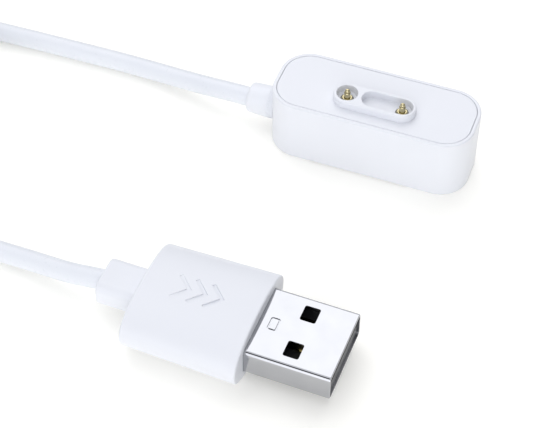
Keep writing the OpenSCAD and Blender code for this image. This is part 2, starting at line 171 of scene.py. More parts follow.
paper, tree, shader = material("opal acrylic table, lit from below", Roughness=0.9, Emission_Strength=0.15)
tone = add(tree, "TexNoise", {"Scale": 40.0, "Detail": 3.0}).outputs["Fac"]
paper_mix = add(tree, "MixRGB", {"Fac": tone, "Color1": linear("#f9f8f3"), "Color2": linear("#faf9f4")})
shader.inputs["Emission Color"].default_value = linear("#fffefa")
tree.links.new(paper_mix.outputs["Color"], shader.inputs["Base Color"])
REACH = 1.2                   # of the table, each way from the origin
table_mesh = bpy.data.meshes.new("table")
table_corners = [(-REACH, -REACH, 0), (REACH, -REACH, 0), (REACH, REACH, 0), (-REACH, REACH, 0)]
table_mesh.from_pydata(table_corners, [], [(0, 1, 2, 3)])
table_mesh.materials.append(paper)
table = bpy.data.objects.new("table", table_mesh)
bpy.context.scene.collection.objects.link(table)
table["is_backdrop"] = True


# ---- Cord ----
# One metre of round two-core cord, 3 mm thick, extruded in soft white TPE. It droops from the dock head to the
# table, winds into a coil of eight and a half turns that is put away to the left, and runs back to the plug.
MM = 0.001
CORD_DIAMETER = 3 * MM
TURNS = 8.5
TURN_STEP = 40                # degrees round the bundle from one turn to the next
POINTS_PER_TURN = 24
dock_run = np.array([
    (-13.2, 0, 4), (-16.5, 0, 4), (-19.8, 0, 3.9), (-23, 0.2, 3.7), (-27, 0.7, 3.1),
    (-31, 1.4, 2.4), (-36, 2.1, 1.8), (-42, 2.4, 1.6), (-50, 2.4, 1.52), (-57, 2.3, 1.52),
    (-64, 2.1, 1.6), (-71, 1.8, 2.1), (-78, 1.3, 2.9)]) * MM
plug_run = np.array([
    (-77, -39.7, 4.2), (-70, -39.5, 3.3), (-63, -39.3, 2.4), (-56, -39.1, 1.8),
    (-49, -39.1, 1.6), (-42, -39.4, 1.7), (-38, -39.7, 2.1), (-34, -40.2, 2.7), (-30.5, -40.6, 3.3),
    (-28, -40.65, 3.7), (-25.6, -40.67, 4), (-19, -40.81, 4), (-11.88, -40.96, 4)]) * MM
coil_low, coil_high = (np.array(corner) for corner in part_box("cord_coil"))
coil_centre = (coil_low + coil_high) / 2
bundle = (coil_high - coil_low)[2] / 2 - CORD_DIAMETER / 2
coil_radius = (coil_high - coil_low)[0] / 2 - bundle - CORD_DIAMETER / 2

# Turn by turn, the cord goes round the ring and steps back round the bundle's own middle.
wound = np.linspace(0, TURNS, int(TURNS * POINTS_PER_TURN) + 1)
round_ring = np.pi / 2 + 2 * np.pi * wound
round_bundle = np.radians(-TURN_STEP * (1 + wound))
reach = coil_radius + bundle * np.cos(round_bundle)
coil = coil_centre + np.stack(
    [reach * np.cos(round_ring), reach * np.sin(round_ring), bundle * np.sin(round_bundle)], axis=1)
route = np.concatenate([dock_run, coil, plug_run])

cord_curve = bpy.data.curves.new("cord", "CURVE")
cord_curve.dimensions = "3D"
cord_curve.bevel_depth = CORD_DIAMETER / 2
cord_curve.bevel_resolution = 6
cord_curve.resolution_u = 6
spline = cord_curve.splines.new("BEZIER")
spline.bezier_points.add(len(route) - 1)
spline.bezier_points.foreach_set("co", route.ravel())
for point in spline.bezier_points:
    point.handle_left_type = point.handle_right_type = "AUTO"
cord = bpy.data.objects.new("cord", cord_curve)
bpy.context.scene.collection.objects.link(cord)

# Extruded TPE: soft, matt white with a cool cast, and faint waves where the die and the cores show through.
jacket, tree, shader = material("TPE cord jacket, extruded", IOR=1.5)
place = add(tree, "TexCoord").outputs["Object"]
waves = add(tree, "TexNoise", {"Vector": place, "Scale": 1 / (6 * MM), "Detail": 2.0}).outputs["Fac"]
jacket_mix = add(tree, "MixRGB", {"Fac": waves, "Color1": linear("#dee1e8"), "Color2": linear("#e3e6eb")})
grain = add(tree, "TexNoise", {"Vector": place, "Scale": 1 / (0.35 * MM), "Detail": 3.0}).outputs["Fac"]
dull = add(tree, "MapRange", {"Value": grain, "To Min": 0.24, "To Max": 0.34})
relief = add(tree, "Bump", {"Height": grain, "Strength": 0.15, "Distance": 0.02 * MM})
tree.links.new(jacket_mix.outputs["Color"], shader.inputs["Base Color"])
tree.links.new(dull.outputs["Result"], shader.inputs["Roughness"])
tree.links.new(relief.outputs["Normal"], shader.inputs["Normal"])
cord_curve.materials.append(jacket)
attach(cord, "cable")
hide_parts("cord_dock_run", "cord_coil", "cord_plug_run")


# ---- Dock housing ----
# The white tub of the dock head, moulded in ABS with satin walls 1.3 mm thick. Its lower edge is rounded, its rim
# is broken by a small radius, and a shallow relief is let into both of its long lower edges.
def outline(length, width, corner, steps=12):
    """A rounded rectangle in plan: the corner centres and the outward normals of its points, anticlockwise.

    A point lies at its corner's centre plus the corner radius times its normal; a smaller radius insets it.
    """
    turn = np.radians(np.linspace(0, 90, steps + 1)) + np.radians([[0], [90], [180], [270]])
    normals = np.stack([np.cos(turn), np.sin(turn)], axis=-1).reshape(-1, 2)
    centres = np.repeat([(1, 1), (-1, 1), (-1, -1), (1, -1)], steps + 1, axis=0)
    return centres * (np.array([length, width]) / 2 - corner), normals


def rounded(profile, steps=5):
    """A profile of (a, b, radius) corners as points (a, b), with an arc of that radius at each corner.

    The arc starts radius / tan(half the corner's angle) before the corner, and its centre is on the bisector.
    """
    corners = np.array([row[:2] for row in profile], float)
    points = []
    for here, (_, _, radius) in enumerate(profile):
        if not radius:
            points.append(corners[here][None])
            continue
        sides = corners[[here - 1, (here + 1) % len(corners)]] - corners[here]
        back, ahead = sides / np.linalg.norm(sides, axis=1)[:, None]
        half = np.arccos(np.clip(back @ ahead, -1, 1)) / 2
        middle = (back + ahead) / np.linalg.norm(back + ahead)
        centre = corners[here] + middle * radius / np.sin(half)
        first, last = (corners[here] + side * radius / np.tan(half) - centre for side in (back, ahead))
        share = np.linspace(0, 1, steps + 1)[:, None]
        spread = np.pi - 2 * half
        arc = (np.sin((1 - share) * spread) * first + np.sin(share * spread) * last) / np.sin(spread)
        points.append(centre + arc)
    return np.concatenate(points)


def upright(shape, profile):
    """Rings of an upright form: each (inset, height) of the profile insets the outline at that height."""
    centres, normals, corner = shape
    inset, heights = np.asarray(profile, float).T
    flat = centres + (corner - inset)[:, None, None] * normals
    return np.concatenate([flat, np.broadcast_to(heights[:, None, None], (*flat.shape[:2], 1))], axis=-1)


def skin(name, *bodies, hollow=False):
    """A piece from bodies of M x N x 3 rings: quads join each ring to the next.

    The end rings are filled. In a hollow body the last ring joins the first, so a bore runs through it.
    """
    points, faces = [], []
    for rings in bodies:
        count, around = rings.shape[:2]
        first = sum(len(part) for part in points)
        index = first + np.arange(count * around).reshape(count, around)
        right = np.roll(index, -1, axis=1)
        if hollow:
            index, right = np.concatenate([index, index[:1]]), np.concatenate([right, right[:1]])
        else:
            faces += [index[0, ::-1].tolist(), index[-1].tolist()]
        faces += np.stack([index[:-1], right[:-1], right[1:], index[1:]], axis=-1).reshape(-1, 4).tolist()
        points.append(rings.reshape(-1, 3))
    mesh = bpy.data.meshes.new(name)
    mesh.from_pydata(np.concatenate(points).tolist(), [], faces)
    build = bmesh.new()
    build.from_mesh(mesh)
    bmesh.ops.recalc_face_normals(build, faces=build.faces[:])
    build.to_mesh(mesh)
    build.free()
    piece = bpy.data.objects.new(name, mesh)
    bpy.context.scene.collection.objects.link(piece)
    return piece


def cut(piece, *cutters):
    """Takes the cutters out of a piece, keeps what is left as its mesh, and throws the cutters away."""
    for cutter in cutters:
        taken_out = piece.modifiers.new("cut", "BOOLEAN")
        taken_out.object = cutter
        taken_out.operation = "DIFFERENCE"
        taken_out.solver = "EXACT"
    ready = bpy.context.evaluated_depsgraph_get()
    mesh = bpy.data.meshes.new_from_object(piece.evaluated_get(ready))
    piece.modifiers.clear()
    piece.data = mesh
    for cutter in cutters:
        bpy.data.objects.remove(cutter)


def finish(piece, surface, edge=0.0):
    """Gives a piece its material and shades it smooth between edges sharper than 33 degrees.

    Where an edge width is given, edges sharper than 40 degrees are broken by it.
    """
    piece.data.materials.clear()
    piece.data.materials.append(surface)
    piece.data.polygons.foreach_set("use_smooth", [True] * len(piece.data.polygons))
    piece.data.set_sharp_from_angle(angle=np.radians(33))
    if edge:
        softened = piece.modifiers.new("broken edges", "BEVEL")
        softened.width = edge
        softened.segments = 2
        softened.limit_method = "ANGLE"
        softened.angle_limit = np.radians(40)
    flats = piece.modifiers.new("flat faces stay flat", "WEIGHTED_NORMAL")
    flats.keep_sharp = True


dock_low, dock_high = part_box("dock_housing")
DOCK_LENGTH, DOCK_WIDTH, DOCK_HEIGHT = np.array(dock_high) - np.array(dock_low)
DOCK_CORNER = 4.6 * MM
WALL = 1.3 * MM
FLOOR = 1.4 * MM
RIM = 0.58 * MM
COVER_UNDERSIDE = 9.1 * MM
CORD_HEIGHT = 4 * MM
NECK = 3.9 * MM               # the hole that the strain relief's neck goes through
RELIEF_FROM, RELIEF_TO = -8.2 * MM, 7.0 * MM
RELIEF_HEIGHT = 0.22 * MM
NOTCH_CORNER = 0.4 * MM
LOWER_RADIUS, RIM_RADIUS, RIM_INNER_RADIUS, FLOOR_RADIUS = 0.28 * MM, 0.22 * MM, 0.08 * MM, 0.3 * MM
UNDERSIDE_INSET, FLOOR_INSET = 1.5 * MM, 2.2 * MM    # where the flat faces below and inside begin
dock_outline = (*outline(DOCK_LENGTH, DOCK_WIDTH, DOCK_CORNER, 20), DOCK_CORNER)
tub_profile = rounded([
    (UNDERSIDE_INSET, 0, 0),
    (0, 0, LOWER_RADIUS),
    (0, DOCK_HEIGHT, RIM_RADIUS),
    (RIM, DOCK_HEIGHT, RIM_INNER_RADIUS),
    (RIM, COVER_UNDERSIDE, 0),
    (WALL, COVER_UNDERSIDE, 0),
    (WALL, FLOOR, FLOOR_RADIUS),
    (FLOOR_INSET, FLOOR, 0)])
housing = skin("housing_shell", upright(dock_outline, tub_profile))


def turned(profile, centre, axis="Z", steps=64):
    """Rings of a turned form: each (radius, height) of the profile goes round the axis at that height."""
    radius, height = np.asarray(profile, float).T[..., None]
    turn = np.linspace(0, 2 * np.pi, steps, endpoint=False)
    round_form = np.stack(np.broadcast_arrays(radius * np.cos(turn), radius * np.sin(turn), height), axis=-1)
    return np.roll(round_form, "ZXY".index(axis), axis=-1) + np.array(centre)


hole = skin("hole", turned([(NECK / 2, -DOCK_LENGTH / 2 - MM), (NECK / 2, -DOCK_LENGTH / 2 + 2 * MM)],
    (0, 0, CORD_HEIGHT), "X"))
notches = []
for side in (-1, 1):
    middle = (RELIEF_FROM + RELIEF_TO) / 2
    notch = upright((*outline(RELIEF_TO - RELIEF_FROM, 2 * MM, NOTCH_CORNER, 4), NOTCH_CORNER),
        [(0, -MM), (0, RELIEF_HEIGHT)])
    notches.append(skin("notch", notch + np.array([middle, side * DOCK_WIDTH / 2, 0])))
cut(housing, hole, *notches)

def white_moulding(name, ior, flow_size, grain_size, satin, glossy, strength, depth):
    """A moulded white plastic: its tint and gloss drift as the melt flowed, over a fine spark-eroded texture."""
    made, tree, shader = material(name, IOR=ior)
    place = add(tree, "TexCoord").outputs["Object"]
    flow = add(tree, "TexNoise", {"Vector": place, "Scale": 1 / flow_size, "Detail": 2.0}).outputs["Fac"]
    tint = add(tree, "MixRGB", {"Fac": flow, "Color1": linear("#e0e2e8"), "Color2": linear("#e4e6eb")})
    grain = add(tree, "TexNoise", {"Vector": place, "Scale": 1 / grain_size, "Detail": 2.0}).outputs["Fac"]
    gloss = add(tree, "MapRange", {"Value": flow, "To Min": glossy, "To Max": satin})
    texture = add(tree, "Bump", {"Height": grain, "Strength": strength, "Distance": depth})
    tree.links.new(tint.outputs["Color"], shader.inputs["Base Color"])
    tree.links.new(gloss.outputs["Result"], shader.inputs["Roughness"])
    tree.links.new(texture.outputs["Normal"], shader.inputs["Normal"])
    return made


# Moulded ABS: bright, cool white with a satin texture of 0.08 mm and a slight unevenness in its gloss.
white_abs = white_moulding("white ABS, injection moulded", 1.53, 9 * MM, 0.08 * MM, 0.38, 0.30, 0.12, 0.006 * MM)
finish(housing, white_abs)
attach(housing, "cable")
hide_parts("dock_housing")


# ---- Inset cover ----
# A plate of the same ABS that drops into the housing's rim, with a thin seam all round. It has an opening for the
# contact bar, and two ring sockets underneath hold the magnets.
GAP = 0.05 * MM
COVER_CORNER = DOCK_CORNER - RIM - GAP
COVER_LENGTH, COVER_WIDTH = DOCK_LENGTH - 2 * (RIM + GAP), DOCK_WIDTH - 2 * (RIM + GAP)
COVER_EDGE, SOCKET_EDGE = 0.12 * MM, 0.08 * MM
OPENING_PLAY = 0.2 * GAP
BAR_LENGTH, BAR_WIDTH, BAR_CENTRE = 12.5 * MM, 4.3 * MM, np.array([0.15, -1.45, 0]) * MM
SOCKET_HEIGHT, SOCKET_RADIUS, MAGNET_RADIUS = 1.5 * MM, 2.95 * MM, 2.3 * MM
plate = upright((*outline(COVER_LENGTH, COVER_WIDTH, COVER_CORNER, 20), COVER_CORNER), rounded([
    (1 * MM, COVER_UNDERSIDE, 0),
    (0, COVER_UNDERSIDE, 0.05 * MM),
    (0, DOCK_HEIGHT, COVER_EDGE),
    (1 * MM, DOCK_HEIGHT, 0)]))
cover = skin("cover_plate", plate)


def stadium(length, width, steps=24):
    """A bar's outline with half-round ends: a rounded rectangle whose corners meet at the ends."""
    return (*outline(length, width, width / 2, steps), width / 2)


opening = upright(stadium(BAR_LENGTH + OPENING_PLAY, BAR_WIDTH + OPENING_PLAY),
    [(0, COVER_UNDERSIDE - MM), (0, DOCK_HEIGHT + MM)])
cut(cover, skin("opening", opening + BAR_CENTRE))
sockets = []
for node in ("left_magnet", "right_magnet"):
    low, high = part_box(node)
    middle = (np.array(low) + np.array(high)) / 2
    inner = MAGNET_RADIUS + GAP
    ring = rounded([
        (inner, COVER_UNDERSIDE, 0),
        (inner, COVER_UNDERSIDE - SOCKET_HEIGHT, SOCKET_EDGE),
        (SOCKET_RADIUS, COVER_UNDERSIDE - SOCKET_HEIGHT, SOCKET_EDGE),
        (SOCKET_RADIUS, COVER_UNDERSIDE, 0)])
    sockets.append(turned(ring, (middle[0], middle[1], 0)))
socket_rings = skin("socket_rings", *sockets, hollow=True)
finish(cover, white_abs)
finish(socket_rings, white_abs)
for piece in (cover, socket_rings):
    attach(piece, "cable")
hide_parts("top_cover")


# ---- Contact bar ----
# The raised bar that keys the tracker: ABS again, with a round pocket and a slot pocket, each with a pin in it.
# It has a rounded top rim, a flange that is glued under the cover and a foot that stands on the board.
BAR_TOP = 11.5 * MM
POCKET_FLOOR = 10.3 * MM
POCKET_WIDTH = 3.15 * MM
ROUND_POCKET_X, SLOT_POCKET_X, SLOT_LENGTH = -4.05 * MM, 2.075 * MM, 7.7 * MM
FLANGE_BOTTOM, FOOT_BOTTOM = 8.1 * MM, 7.1 * MM
FLANGE_MARGIN, FOOT_INSET = 0.8 * MM, 0.4 * MM
BAR_EDGE, POCKET_EDGE = 0.3 * MM, 0.12 * MM
FLARE = 0.4 * MM              # of the pocket cutters above the bar's rounded edge
HAIR = 1e-6                   # keeps the two ends of the round pocket apart
PIN_X = (-4.05 * MM, 4.35 * MM)
PIN_Y = -1.45 * MM
PIN_HOLE, MOAT = 0.77 * MM, 1.0 * MM    # radii of a pin's hole and of the moat round its collar
MOAT_FLOOR = 9.85 * MM
bar_rings = upright(stadium(BAR_LENGTH, BAR_WIDTH), rounded([
    (1.5 * MM, FOOT_BOTTOM, 0),
    (FOOT_INSET, FOOT_BOTTOM, 0),
    (FOOT_INSET, FLANGE_BOTTOM, 0),
    (-FLANGE_MARGIN, FLANGE_BOTTOM, 0),
    (-FLANGE_MARGIN, COVER_UNDERSIDE, 0),
    (0, COVER_UNDERSIDE, 0),
    (0, BAR_TOP, BAR_EDGE),
    (1.5 * MM, BAR_TOP, 0)]))
bar = skin("contact_bar_moulding", bar_rings + BAR_CENTRE)
pocket_profile = rounded([
    (0.6 * MM, POCKET_FLOOR, 0),
    (0, POCKET_FLOOR, POCKET_EDGE),
    (0, BAR_TOP, POCKET_EDGE),
    (-FLARE, BAR_TOP, 0)])
pocket_profile = np.concatenate([pocket_profile, [(-FLARE, BAR_TOP + MM)]])
pockets = [
    upright(stadium(POCKET_WIDTH + HAIR, POCKET_WIDTH), pocket_profile) + np.array([ROUND_POCKET_X, PIN_Y, 0]),
    upright(stadium(SLOT_LENGTH, POCKET_WIDTH), pocket_profile) + np.array([SLOT_POCKET_X, PIN_Y, 0])]
cutters = [skin("pocket", rings) for rings in pockets]
hole_profile = [(PIN_HOLE, 5 * MM), (PIN_HOLE, MOAT_FLOOR), (MOAT, MOAT_FLOOR), (MOAT, 12 * MM)]
for x in PIN_X:
    cutters.append(skin("pin_hole", turned(hole_profile, (x, PIN_Y, 0), steps=48)))
cut(bar, *cutters)
finish(bar, white_abs)
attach(bar, "cable")
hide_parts("contact_bar")


# ---- Contact pins ----
# Sprung pins turned from brass and plated with hard gold over nickel. The barrel has a collar on the pocket floor
# and a lip at its mouth; the plunger's nose is a polished dome on a small cone. Each plunger moves with its body.
gold, tree, shader = material("hard gold plating, on turned brass", Metallic=1.0)
place = add(tree, "TexCoord").outputs["Object"]
patch = add(tree, "TexNoise", {"Vector": place, "Scale": 1 / (0.5 * MM), "Detail": 2.0}).outputs["Fac"]
plating = add(tree, "MixRGB", {"Fac": patch, "Color1": linear("#bcb188"), "Color2": linear("#cec49f")})
turning = add(tree, "TexWave", {"Vector": place, "Scale": 1 / (0.7 * MM), "Distortion": 0.6},
    wave_type="BANDS", bands_direction="Z").outputs["Fac"]
gloss = add(tree, "MapRange", {"Value": patch, "To Min": 0.06, "To Max": 0.12})
turning_marks = add(tree, "Bump", {"Height": turning, "Strength": 0.08, "Distance": 0.004 * MM})
tree.links.new(plating.outputs["Color"], shader.inputs["Base Color"])
tree.links.new(gloss.outputs["Result"], shader.inputs["Roughness"])
tree.links.new(turning_marks.outputs["Normal"], shader.inputs["Normal"])

CLOSED_END = 0.05 * MM        # radius of the small disc that closes a turned form
TAIL_RADIUS, BARREL_RADIUS, COLLAR_RADIUS = 0.35 * MM, 0.75 * MM, 0.825 * MM
BORE_RADIUS, MOUTH_RADIUS, LIP_RADIUS = 0.575 * MM, 0.515 * MM, 0.68 * MM
TAIL_END, BARREL_BOTTOM, BARREL_FLOOR, COLLAR_BOTTOM = 5.6 * MM, 7.1 * MM, 7.45 * MM, 10.12 * MM
LIP_UNDERSIDE, COLLAR_TOP, BARREL_TOP = 10.35 * MM, 10.45 * MM, 10.6 * MM
barrel_profile = rounded([
    (CLOSED_END, TAIL_END, 0),
    (TAIL_RADIUS, TAIL_END, 0.08 * MM),
    (TAIL_RADIUS, BARREL_BOTTOM, 0),
    (BARREL_RADIUS, BARREL_BOTTOM, 0.05 * MM),
    (BARREL_RADIUS, COLLAR_BOTTOM, 0),
    (COLLAR_RADIUS, COLLAR_BOTTOM, 0),
    (COLLAR_RADIUS, COLLAR_TOP, 0.04 * MM),
    (LIP_RADIUS, BARREL_TOP, 0.05 * MM),
    (MOUTH_RADIUS, BARREL_TOP, 0.03 * MM),
    (MOUTH_RADIUS, LIP_UNDERSIDE, 0),
    (BORE_RADIUS, LIP_UNDERSIDE, 0),
    (BORE_RADIUS, BARREL_FLOOR, 0),
    (CLOSED_END, BARREL_FLOOR, 0)], steps=4)
HEAD_RADIUS, SHANK_RADIUS, NOSE_RADIUS = 0.535 * MM, 0.475 * MM, 0.39 * MM
HEAD_BOTTOM, HEAD_TOP, SHANK_TOP = 9.63 * MM, 10.33 * MM, 11.45 * MM
CONE_TOP, TIP_HEIGHT = 11.6 * MM, 12.1 * MM
dome = np.radians(np.linspace(0, 87, 12))
plunger_profile = np.concatenate([
    rounded([
        (CLOSED_END, HEAD_BOTTOM, 0),
        (HEAD_RADIUS, HEAD_BOTTOM, 0.04 * MM),
        (HEAD_RADIUS, HEAD_TOP, 0.02 * MM),
        (SHANK_RADIUS, HEAD_TOP, 0),
        (SHANK_RADIUS, SHANK_TOP, 0.05 * MM),
        (NOSE_RADIUS, CONE_TOP, 0.02 * MM)], steps=3),
    np.stack([NOSE_RADIUS * np.cos(dome), TIP_HEIGHT - NOSE_RADIUS + NOSE_RADIUS * np.sin(dome)], axis=1)])
for x, name in zip(PIN_X, ("left_pin", "right_pin")):
    barrel = skin(name + "_sleeve", turned(barrel_profile, (x, PIN_Y, 0)))
    plunger = skin(name + "_tip", turned(plunger_profile, (x, PIN_Y, 0)))
    finish(barrel, gold)
    finish(plunger, gold)
    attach(barrel, "cable")
    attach(plunger, name)
    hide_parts(name + "_barrel")
    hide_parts(name + "_plunger")


# ---- Magnets, board and wires inside the dock head ----
# Sintered magnets with bright nickel on them, a glass-epoxy board with its diode and solder, and two PVC wires.
# None of them shows while the cover is on.
def mottled(name, metallic, roughness, dark, light, size, depth):
    """A finish whose colour and gloss drift between two values over patches of one size, with a fine relief."""
    made, tree, shader = material(name, Metallic=metallic)
    place = add(tree, "TexCoord").outputs["Object"]
    drift = add(tree, "TexNoise", {"Vector": place, "Scale": 1 / size, "Detail": 3.0}).outputs["Fac"]
    mix = add(tree, "MixRGB", {"Fac": drift, "Color1": linear(dark), "Color2": linear(light)})
    gloss = add(tree, "MapRange", {"Value": drift, "To Min": roughness * 0.8, "To Max": roughness * 1.2})
    grain = add(tree, "TexNoise", {"Vector": place, "Scale": 8 / size, "Detail": 2.0}).outputs["Fac"]
    relief = add(tree, "Bump", {"Height": grain, "Strength": 0.3, "Distance": depth})
    tree.links.new(mix.outputs["Color"], shader.inputs["Base Color"])
    tree.links.new(gloss.outputs["Result"], shader.inputs["Roughness"])
    tree.links.new(relief.outputs["Normal"], shader.inputs["Normal"])
    return made


def dress(surface, *names):
    """Puts a material on CAD nodes, which keep their own shape and body."""
    for name in names:
        cad_mesh = bpy.data.objects[name].data
        cad_mesh.materials.clear()
        cad_mesh.materials.append(surface)


dress(mottled("bright nickel plating, barrel plated", 1.0, 0.2, "#c4c0b6", "#d4d0c8", 1.5 * MM, 0.004 * MM),
    "left_magnet", "right_magnet")
dress(mottled("glass-epoxy board, green solder mask", 0.0, 0.3, "#0c5a33", "#14693d", 0.8 * MM, 0.006 * MM),
    "contact_board")
dress(mottled("moulded black epoxy", 0.0, 0.55, "#1b1b1d", "#252528", 0.4 * MM, 0.008 * MM), "surge_diode")
dress(mottled("tin solder, reflowed", 1.0, 0.22, "#b9bcc0", "#d0d2d4", 0.6 * MM, 0.01 * MM), "pin_solder")
dress(mottled("red PVC insulation, extruded", 0.0, 0.4, "#a80f12", "#ba1a1a", 0.7 * MM, 0.004 * MM),
    "dock_supply_wire", "plug_supply_wire")
dress(mottled("black PVC insulation, extruded", 0.0, 0.4, "#161617", "#202022", 0.7 * MM, 0.004 * MM),
    "dock_ground_wire", "plug_ground_wire")


# ---- Pin springs ----
# Compression springs of 0.12 mm stainless wire, seven turns each, between a barrel's closed end and its plunger's
# head. In the real pin they shorten as the plunger is pressed; here each is one fixed mesh on the cable's body.
SPRING_TURNS, SPRING_RADIUS, SPRING_WIRE = 7, 0.455 * MM, 0.12 * MM
SPRING_FOOT, SPRING_TOP = BARREL_FLOOR, HEAD_BOTTOM


def spring_rings(centre, steps=20, sides=8):
    """Rings of a spring: the wire's middle climbs evenly as it turns; each ring is a circle across it."""
    turn = np.linspace(0, 2 * np.pi * SPRING_TURNS, SPRING_TURNS * steps + 1)[:, None]
    around = np.linspace(0, 2 * np.pi, sides, endpoint=False)
    reach = SPRING_RADIUS + SPRING_WIRE / 2 * np.cos(around)
    end_gap = 0.55 * SPRING_WIRE
    climb = SPRING_FOOT + end_gap + (SPRING_TOP - SPRING_FOOT - 2 * end_gap) * turn / turn[-1]
    rings = [reach * np.cos(turn), reach * np.sin(turn), climb + SPRING_WIRE / 2 * np.sin(around)]
    return np.stack(rings, axis=-1) + np.array(centre)


spring_wire = mottled("stainless spring wire, drawn", 1.0, 0.3, "#a8a8a8", "#c0c0bf", 0.3 * MM, 0.002 * MM)
for x, name in zip(PIN_X, ("left_pin", "right_pin")):
    spring = skin(name + "_coiled_wire", spring_rings((x, PIN_Y, 0)))
    finish(spring, spring_wire)
    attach(spring, "cable")
    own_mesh(spring)
    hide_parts(name + "_spring")


# ---- Dock strain relief ----
# A short tapered collar of soft white TPE, moulded over the cord. Its small end is rounded, and three fine flex
# grooves run round its root. Its neck fills the hole in the housing, and a flange holds it from inside.
white_tpe = white_moulding("white TPE, overmoulded", 1.5, 7 * MM, 0.12 * MM, 0.47, 0.38, 0.15, 0.008 * MM)

WALL_FACE = -DOCK_LENGTH / 2
# Radii, from the cord out.
COLLAR_BORE, COLLAR_NECK, COLLAR_SMALL_END, COLLAR_ROOT = 1.48 * MM, 1.9 * MM, 2.3 * MM, 2.5 * MM
COLLAR_END, FLANGE_OUTSIDE, FLANGE_INSIDE = -19.8 * MM, -13.9 * MM, -13.05 * MM
BORE_START = -13.3 * MM
# Each groove is cut into a radius of 2.46 mm: (depth, shift along the cord) of its four corners, in millimetres.
GROOVE_PLACES, GROOVED_RADIUS = (-16.3, -15.98, -15.66), 2.46
GROOVE = ((0, -0.08), (0.08, -0.05), (0.08, 0.05), (0, 0.08))
collar_profile = rounded([
    (COLLAR_BORE, BORE_START, 0),
    (COLLAR_BORE, COLLAR_END, 0.12 * MM),
    (COLLAR_SMALL_END, COLLAR_END, 0.55 * MM),
    *[((GROOVED_RADIUS - dip) * MM, (at + shift) * MM, 0) for at in GROOVE_PLACES for dip, shift in GROOVE],
    (COLLAR_ROOT, WALL_FACE, 0.1 * MM),
    (COLLAR_NECK, WALL_FACE, 0),
    (COLLAR_NECK, FLANGE_OUTSIDE, 0),
    (COLLAR_ROOT, FLANGE_OUTSIDE, 0),
    (COLLAR_ROOT, FLANGE_INSIDE, 0.2 * MM),
    (COLLAR_BORE, FLANGE_INSIDE, 0)])
collar = skin("dock_collar", turned(collar_profile, (0, 0, CORD_HEIGHT), "X"), hollow=True)
finish(collar, white_tpe)
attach(collar, "cable")
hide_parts("dock_strain_relief")


# ---- Coil tie ----
# A strap of grey-white silicone, 5 mm wide, that holds the stored turns together on the far side of the coil.
# Its tongue lies over it on the inside of the coil, and ends in a half round.
tie_low, tie_high = (np.array(corner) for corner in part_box("coil_tie"))
tie_centre = (tie_low + tie_high) / 2
STRAP_THICKNESS = 0.45 * MM
STRAP_EDGE_INSIDE, STRAP_EDGE_OUTSIDE = 0.1 * MM, 0.18 * MM
TONGUE_RINGS = 40
ROUND_END_FROM = 0.8          # share of the tongue's length where its round end begins
NARROWEST = 0.01              # square of the share of its width that is left at the very end
strap_edge = (tie_high - tie_low)[1] / 2
strap_outside = (tie_high - tie_low)[2] / 2
strap_inside = strap_outside - STRAP_THICKNESS
strap = turned(rounded([
    (strap_inside, -strap_edge, STRAP_EDGE_INSIDE),
    (strap_outside, -strap_edge, STRAP_EDGE_OUTSIDE),
    (strap_outside, strap_edge, STRAP_EDGE_OUTSIDE),
    (strap_inside, strap_edge, STRAP_EDGE_INSIDE)]), tie_centre, "Y", steps=96)


def tongue_rings(middle, radius, half_width, start, stop):
    """Rings of a strap's tongue: its section goes round the bundle from one angle to another, in degrees.

    Towards the far end its half width falls as the root of 1 - share squared, which gives a half-round end.
    """
    share = np.linspace(0, 1, TONGUE_RINGS)
    angle = np.radians(start + (stop - start) * share)
    tip = np.clip((share - ROUND_END_FROM) / (1 - ROUND_END_FROM), 0, 1)
    taper = np.sqrt(np.maximum(1 - tip ** 2, NARROWEST))
    centres, normals = outline(2 * half_width, STRAP_THICKNESS * 0.9, STRAP_EDGE_OUTSIDE, 4)
    section = centres + STRAP_EDGE_OUTSIDE * normals
    wide = section[None, :, 0] * taper[:, None]
    high = np.broadcast_to(radius + section[None, :, 1], wide.shape)
    return np.stack([high * np.cos(angle)[:, None], wide, high * np.sin(angle)[:, None]], axis=-1) + middle


tongue = tongue_rings(tie_centre, strap_outside + STRAP_THICKNESS * 0.45, strap_edge * 0.86, -62, 55)
tie = skin("silicone_tie", strap, hollow=True)
tie_tongue = skin("silicone_tie_tongue", tongue)
silicone = mottled("grey-white silicone rubber, moulded", 0.0, 0.6, "#cfd1d6", "#d6d8dc", 1.2 * MM, 0.02 * MM)
for piece in (tie, tie_tongue):
    finish(piece, silicone)
    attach(piece, "cable")
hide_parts("coil_tie")


# ---- USB plug: what is inside ----
# A black LCP block holds four gold-plated contacts. Behind it the cord's end is crimped, its wires run to the
# tails of the outer contacts, and a natural polypropylene mould is cast over all of it before the grip.
dress(mottled("black LCP, injection moulded", 0.0, 0.36, "#1d1d20", "#26262a", 0.9 * MM, 0.006 * MM),
    "plug_insulator")
dress(gold, "plug_supply_contact", "plug_data_minus_contact", "plug_data_plus_contact", "plug_ground_contact")
dress(mottled("tinned steel crimp, pressed", 1.0, 0.35, "#a9aaad", "#bcbdc0", 0.8 * MM, 0.01 * MM),
    "plug_cord_crimp")
dress(mottled("natural polypropylene, low-pressure moulded", 0.0, 0.4, "#d8d6cc", "#e2e0d8", 2.5 * MM, 0.01 * MM),
    "plug_inner_mould")


